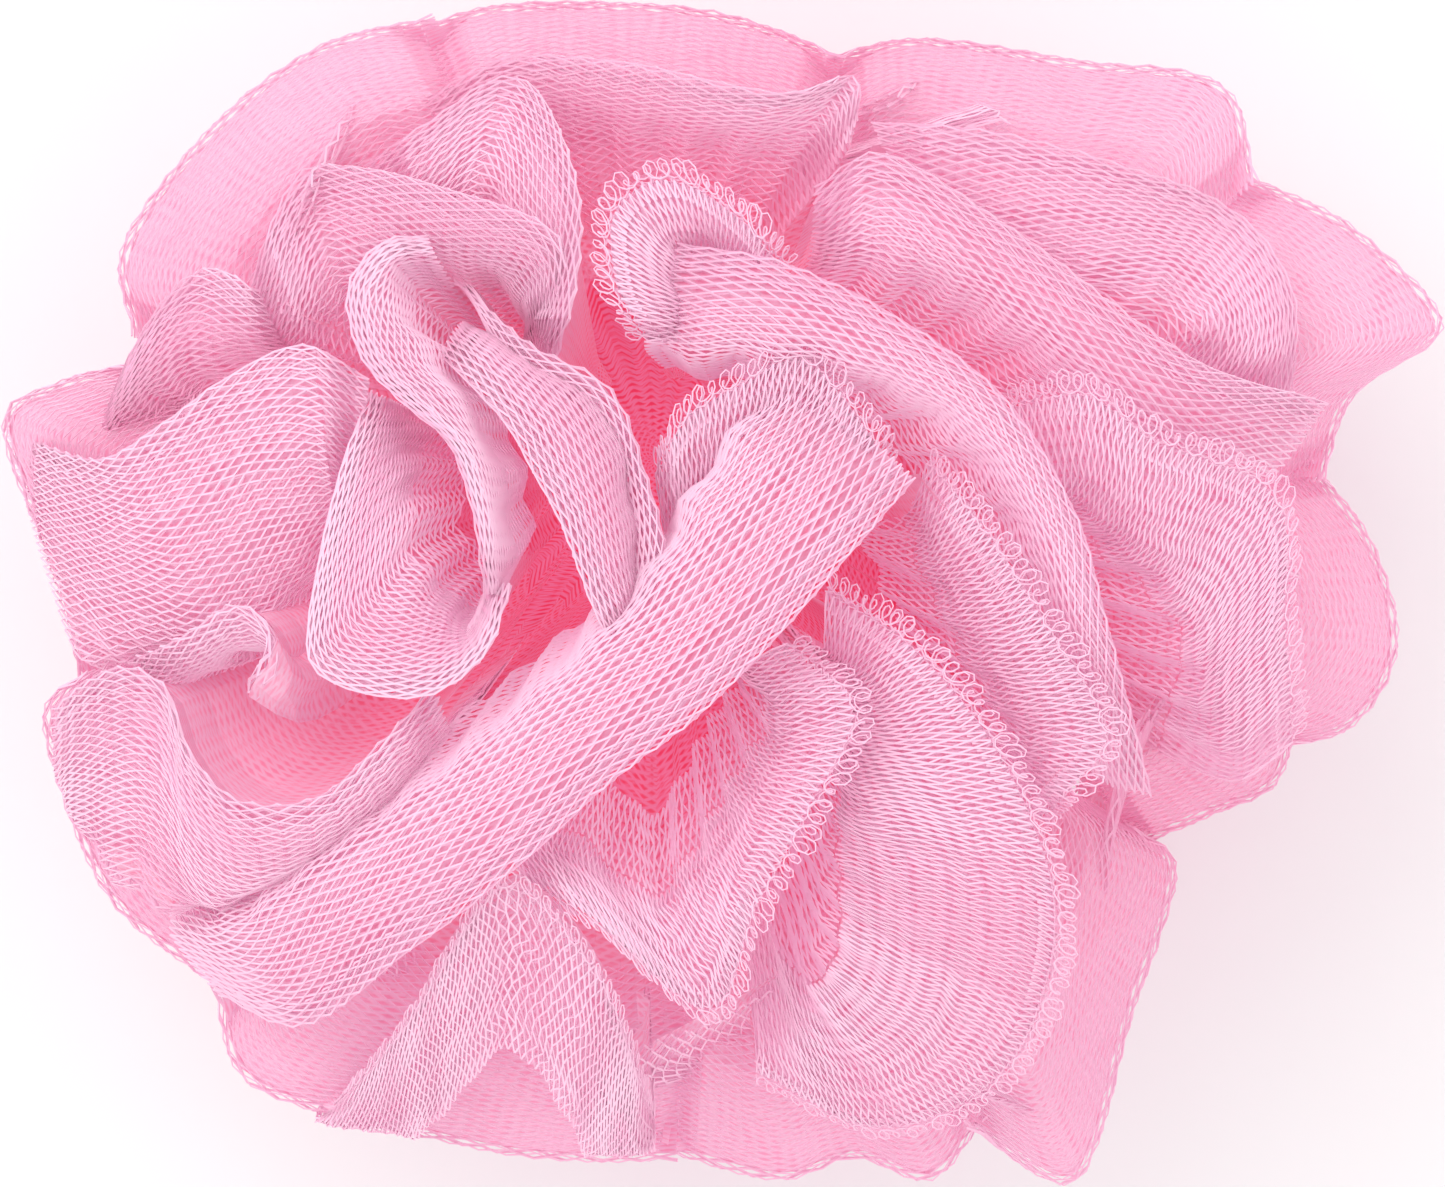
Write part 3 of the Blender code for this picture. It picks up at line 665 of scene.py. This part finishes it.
def patternGroup():  # the net's cells drawn on a sheet; the UV map is in millimetres
    tree = bpy.data.node_groups.new("netPattern", "ShaderNodeTree")
    for name, kind in (("Vector", "Vector"), ("Cell", "Float"), ("Spacing", "Float"), ("Thread", "Float")):
        tree.interface.new_socket(name, in_out="INPUT", socket_type="NodeSocket" + kind)
    tree.interface.new_socket("Mask", in_out="OUTPUT", socket_type="NodeSocketFloat")
    source = tree.nodes.new("NodeGroupInput").outputs

    def maths(operation, a, b=0.0, clamp=False):
        return addNode(tree, "ShaderNodeMath", [(0, a), (1, b)], operation=operation, use_clamp=clamp).outputs[0]

    place = addNode(tree, "ShaderNodeSeparateXYZ", [(0, source["Vector"])])
    along = maths("DIVIDE", place.outputs[0], source["Cell"])
    across = maths("DIVIDE", place.outputs[1], maths("MULTIPLY", source["Spacing"], 2.0))
    lines = []
    for operation in ("ADD", "SUBTRACT"):
        saw = maths("PINGPONG", maths(operation, along, across), 0.5)
        lines.append(maths("SUBTRACT", 1.0, maths("DIVIDE", saw, source["Thread"]), clamp=True))
    out = tree.nodes.new("NodeGroupOutput")
    tree.links.new(maths("MAXIMUM", lines[0], lines[1]), out.inputs[0])
    return tree


def innerMaterial():
    material, tree, shader = newMaterial("innerNet", finish["roughness"], finish["specular"])
    coords = addNode(tree, "ShaderNodeTexCoord")
    warp = addNode(tree, "ShaderNodeTexNoise", [("Vector", coords.outputs["Object"]),
                                                  ("Scale", finish["warpScale"])])
    bent = addNode(tree, "ShaderNodeVectorMath", [
        (0, warp.outputs["Color"]), (1, (finish["warp"], finish["warp"], 0)), (2, coords.outputs["UV"])],
        operation="MULTIPLY_ADD").outputs[0]
    masks = []
    for cell, spacing, thread, turn in ((innerNet["cell"], innerNet["spacing"], 0.3, 0.0),
                                        (innerNet["cell"] * 0.93, innerNet["spacing"] * 1.1, 0.26, 0.12)):
        turned = addNode(tree, "ShaderNodeMapping", [("Vector", bent), ("Rotation", (0, 0, turn))]).outputs[0]
        group = tree.nodes.new("ShaderNodeGroup")
        group.node_tree = netPattern
        tree.links.new(turned, group.inputs["Vector"])
        group.inputs["Cell"].default_value = cell
        group.inputs["Spacing"].default_value = spacing
        group.inputs["Thread"].default_value = thread
        masks.append(group.outputs["Mask"])
    mask = addNode(tree, "ShaderNodeMath", [(0, masks[1]), (1, 0.6), (2, masks[0])],
                   operation="MULTIPLY_ADD", use_clamp=True).outputs[0]
    # drawn threads and the gaps between them darken to coral with depth: painted recess shade
    depth = addNode(tree, "ShaderNodeAttribute", attribute_name="depth").outputs["Fac"]
    ground = addNode(tree, "ShaderNodeMix", [(0, depth), (6, finish["gap"]), (7, finish["gapRecessShade"])],
                     data_type="RGBA").outputs[2]
    drawn = addNode(tree, "ShaderNodeMix", [(0, depth), (6, finish["inner"]), (7, finish["innerRecessShade"])],
                    data_type="RGBA").outputs[2]
    color = addNode(tree, "ShaderNodeMix", [(0, mask), (6, ground), (7, drawn)], data_type="RGBA").outputs[2]
    tree.links.new(color, shader.inputs["Base Color"])
    return material


def tieMaterial():
    material, tree, shader = newMaterial("tieCord", cordFinish["roughness"], cordFinish["specular"])
    place = addNode(tree, "ShaderNodeTexCoord").outputs["Object"]
    twist = addNode(tree, "ShaderNodeTexWave", [("Vector", place), ("Scale", cordFinish["twistScale"]),
                                                ("Distortion", 1.0)])
    # the strands' twist in two tones; the darker one falls where the bump is low, as painted shade in the grooves
    ramp = tree.nodes.new("ShaderNodeValToRGB")
    tree.links.new(twist.outputs["Fac"], ramp.inputs[0])
    ramp.color_ramp.elements[0].color = cordFinish["dark"]
    ramp.color_ramp.elements[1].color = cordFinish["light"]
    tree.links.new(ramp.outputs[0], shader.inputs["Base Color"])
    bump = addNode(tree, "ShaderNodeBump", [("Height", twist.outputs["Fac"]), ("Distance", cordFinish["bump"])])
    tree.links.new(bump.outputs[0], shader.inputs["Normal"])
    return material


threadTree = netTree()
netPlastic = netMaterial()
netPattern = patternGroup()
innerPlastic = innerMaterial()
tieCord = tieMaterial()
print("threads' tree and materials made")

# upper ruffles
sheets = []
for seed, (name, (crest, turn)) in enumerate(upperRuffles.items()):
    sheets.append(ruffleSheet(name, onDome(crest), onDome(turn), 1, seed))
upperMeshes = []
backings = []
for sheet in sheets:
    ob = gridObject(sheet)
    across = sheet["name"] in acrossEdge
    opened = sheet["name"] in openNet
    fineEnd = min(sheet["band"] + (0 if opened else threadReach["upper"]), sheet["reach"][-1])
    flankEnd = min(sheet["band"] + (0 if opened else threadReach["flank"]), sheet["reach"][-1])
    grade = "dense" if sheet["name"] in denseNet else "open" if opened else "fine"
    upperMeshes.append(woven(ob, sheet, grade, -net["fold"], fineEnd, across, netPlastic))
    if flankEnd > fineEnd + 2:
        upperMeshes.append(woven(ob, sheet, "flank", fineEnd + 0.2, flankEnd, across, netPlastic))
    second = shifted(sheet, net["second"], seed=len(upperMeshes) + 140)
    layer = gridObject(second)
    upperMeshes.append(woven(layer, second, "open" if opened else "flank", 0.3, fineEnd, across, netPlastic))
    bpy.data.objects.remove(layer)
    if across:
        upperMeshes += [loopRow(sheet, 1), loopRow(shifted(sheet, 0.3, 0), 2)]
    if opened:
        backings.append(backing(sheet, innerNet["start"], innerNet["openInset"], sheet["band"] - 0.5))
    else:
        backings += [backing(sheet, innerNet["start"]), outerWall(sheet, 1)]
    bpy.data.objects.remove(ob)
print("upper ruffles woven")

pieces = []
batch, count, number = [], 0, 1
for mesh in upperMeshes + [None]:
    more = 0 if mesh is None else 2 * len(mesh.vertices)
    if batch and (mesh is None or count + more > 190000):
        pieces.append(joined(f"upper_net_{number}", batch, netPlastic))
        batch, count, number = [], 0, number + 1
    if mesh is not None:
        batch.append(mesh)
        count += more

# rim lobes, over and under the tie's height
rimMeshes = []
for seed, (name, (crest, turn)) in enumerate(rimRuffles.items()):
    for side in (1, -1):
        edge = [(x, y, puff["waist"] + rise) for x, y, rise in crest]
        fold = [(x, y, puff["waist"] + (rise if side > 0 else -rise)) for x, y, rise in turn]
        sheet = ruffleSheet(name, edge, fold, side, seed + 30)
        ob = gridObject(sheet)
        fineEnd = min(sheet["band"] + threadReach["rim"], sheet["reach"][-1])
        rimMeshes.append(woven(ob, sheet, "rim" if side > 0 else "medium", 0, fineEnd, False, netPlastic))
        backings.append(backing(sheet, innerNet["rimStart"]))
        bpy.data.objects.remove(ob)
pieces.append(joined("rim_net", rimMeshes, netPlastic))
print("rim woven")


def outlineReach(direction):  # how far the outline lies from the tie's axis
    angle = outlineAngles[0] + (direction - outlineAngles[0]) % (2 * math.pi)
    return np.interp(angle, outlineAngles, np.hypot(outline[:, 0] - puff["gather"][0],
                                                    outline[:, 1] - puff["gather"][1]))


def sidePoint(direction, height, tuck):
    across = (outlineReach(direction) * sideRuffles["reach"] - tuck) * math.cos(height) ** 0.5
    return (puff["gather"][0] + across * math.cos(direction), puff["gather"][1] + across * math.sin(direction),
            puff["waist"] + puff["rise"] * math.sin(height) * sideRuffles["height"])


sideMeshes = []
for seed in range(sideRuffles["count"]):
    direction = 2 * math.pi * (seed + 0.35 * math.sin(seed * 2.4)) / sideRuffles["count"]
    flip = 1 if seed % 3 else -1
    high, low = sideRuffles["high"] + 6 * math.sin(seed * 1.9), sideRuffles["low"] + 5 * math.sin(seed * 2.7)
    lean, band = math.radians(sideRuffles["lean"]) * flip, math.radians(sideRuffles["band"]) * flip
    crest, turn = [], []
    for share in np.linspace(1, -1, sideRuffles["points"]):
        height = math.radians((high + low) / 2 + (high - low) / 2 * share)
        sway = lean * share * 0.5 + band * 0.35 * math.sin(share * math.pi + seed)
        crest.append(sidePoint(direction + sway, height, 1.5 + 1.5 * math.sin(share * 4 + seed)))
        turn.append(sidePoint(direction + sway + band, height * 0.95, sideRuffles["tuck"]))
    sheet = ruffleSheet(f"side{seed}", crest, turn, 1 if seed % 2 else -1, seed + 60)
    ob = gridObject(sheet)
    fineEnd = min(sheet["band"] + threadReach["side"], sheet["reach"][-1])
    sideMeshes.append(woven(ob, sheet, "medium", -threadReach["sideBack"], fineEnd, seed % 4 == 1, netPlastic))
    backings.append(backing(sheet, innerNet["sideStart"]))
    bpy.data.objects.remove(ob)
pieces.append(joined("side_net", sideMeshes, netPlastic))
print("side ruffles woven")


def underPoints(points):  # the upper ruffle turned round the tie, and hung from it instead
    line = []
    for x, y, z in onDome(points):
        away = np.array([x, y]) - puff["gather"]
        angle = outlineAngles[0] + (math.atan2(away[1], away[0]) - outlineAngles[0]) % (2 * math.pi)
        run = np.interp(angle, outlineAngles, outlineRuns)
        rim = [np.interp(run, outlineRuns, outline[:, k]) - puff["gather"][k] for k in range(2)]
        share = min(math.hypot(*away) / math.hypot(*rim), underSide["within"])
        run = (run - underSide["turn"]) % 1
        rim = [np.interp(run, outlineRuns, outline[:, k]) - puff["gather"][k] for k in range(2)]
        line.append((puff["gather"][0] + share * rim[0], puff["gather"][1] + share * rim[1],
                     max(min(2 * puff["waist"] - z, puff["waist"] - underSide["underTie"]), underSide["floorGap"])))
    return line


underMeshes = []
for seed, (name, (crest, turn)) in enumerate(upperRuffles.items()):
    sheet = ruffleSheet("under" + name, underPoints(crest), underPoints(turn), -1, seed + 90)
    ob = gridObject(sheet)
    fineEnd = min(sheet["band"] + threadReach["under"], sheet["reach"][-1])
    underMeshes.append(woven(ob, sheet, "medium", -threadReach["underBack"], fineEnd, False, netPlastic))
    backings += [backing(sheet, innerNet["start"]), outerWall(sheet, -1)]
    bpy.data.objects.remove(ob)
pieces.append(joined("lower_net", underMeshes, netPlastic))
print("underside woven")
backings += [gatherBowl(1), gatherBowl(-1)]
innerPiece = joinedBacking("inner_net", backings, innerPlastic)
innerPiece.visible_diffuse = False  # a net is mostly open, so light passes through its inner layers
innerPiece.visible_shadow = False
pieces.append(innerPiece)

# every piece hangs from the root body, and the model's own net ruffle is hidden
for piece in pieces:
    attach(piece, "root")
    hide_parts("net_ruffle")

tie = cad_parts["waist_tie"]
tie.data.materials.clear()
tie.data.materials.append(tieCord)

# floor, lamps and camera
stage = {
    "floorSize": 4.0, "floorColor": (0.93, 0.93, 0.93, 1), "floorRoughness": 0.9, "floorSpecular": 0.1,
    "fadeFrom": 0.15, "fadeTo": 0.3,
    "world": 1.06, "key": 3.5, "keySize": 0.9, "keyPlace": (-0.5, 0.55, 1.1),
    "cameraHeight": 1.4, "frameWidth": 0.13, "sensor": 36,
}
half = stage["floorSize"] / 2
floorMesh = bpy.data.meshes.new("floor")
floorMesh.from_pydata([(-half, -half, 0), (half, -half, 0), (half, half, 0), (-half, half, 0)], [], [(0, 1, 2, 3)])
floor = bpy.data.objects.new("floor", floorMesh)
bpy.context.scene.collection.objects.link(floor)
paper, sweep, matt = newMaterial("paper", stage["floorRoughness"], stage["floorSpecular"])
matt.inputs["Base Color"].default_value = stage["floorColor"]
# past the puff's shadow the camera sees plain white
away = addNode(sweep, "ShaderNodeVectorMath", [(0, addNode(sweep, "ShaderNodeTexCoord").outputs["Object"])],
               operation="LENGTH").outputs["Value"]
seen = addNode(sweep, "ShaderNodeLightPath")
fade = addNode(sweep, "ShaderNodeMapRange", [("Value", away), ("From Min", stage["fadeFrom"]),
                                             ("From Max", stage["fadeTo"])], interpolation_type="SMOOTHSTEP")
share = addNode(sweep, "ShaderNodeMath", [(0, fade.outputs[0]), (1, seen.outputs["Is Camera Ray"])],
                operation="MULTIPLY")
white = addNode(sweep, "ShaderNodeEmission", [("Color", (1, 1, 1, 1)), ("Strength", 1.0)])
both = addNode(sweep, "ShaderNodeMixShader", [(0, share.outputs[0]), (1, matt.outputs[0]), (2, white.outputs[0])])
sweep.links.new(both.outputs[0], sweep.nodes["Material Output"].inputs["Surface"])
floorMesh.materials.append(paper)

world = bpy.data.worlds.new("studio")
bpy.context.scene.world = world
world.use_nodes = True
sky = world.node_tree
background = sky.nodes["Background"]
background.inputs["Color"].default_value = (1, 1, 1, 1)
rays = addNode(sky, "ShaderNodeLightPath")
level = addNode(sky, "ShaderNodeMapRange", [("Value", rays.outputs["Is Camera Ray"]), ("To Min", stage["world"]),
                                            ("To Max", 1.0)])
sky.links.new(level.outputs[0], background.inputs["Strength"])

lamp = bpy.data.lights.new("softbox", "AREA")
lamp.size = stage["keySize"]
lamp.energy = stage["key"]
softbox = bpy.data.objects.new("softbox", lamp)
softbox.location = stage["keyPlace"]
softbox.rotation_euler = (-softbox.location).to_track_quat("-Z", "Y").to_euler()
bpy.context.scene.collection.objects.link(softbox)

lens = bpy.data.cameras.new("camera")
lens.sensor_width = stage["sensor"]
middle = puff["waist"] * mm
lens.lens = stage["sensor"] / 2 / (stage["frameWidth"] / 2 / (stage["cameraHeight"] - middle))
lens.clip_end = 20
camera = bpy.data.objects.new("camera", lens)
camera.location = (0, 0, stage["cameraHeight"])
bpy.context.scene.collection.objects.link(camera)
bpy.context.scene.camera = camera
bpy.context.scene.view_settings.view_transform = "Standard"
bpy.context.scene.cycles.diffuse_bounces = 8  # light passes from thread to thread
bpy.context.scene.cycles.max_bounces = 12
bpy.context.scene.cycles.use_fast_gi = True  # light deep between the threads is estimated from here on
bpy.context.scene.cycles.fast_gi_method = "REPLACE"
bpy.context.scene.cycles.ao_bounces_render = 4
bpy.context.scene.world.light_settings.distance = 8 * mm
print("floor, lamps and camera set")

total = sum(sum(len(p.vertices) - 2 for p in piece.data.polygons) for piece in pieces)
print(f"net: {total} triangles")
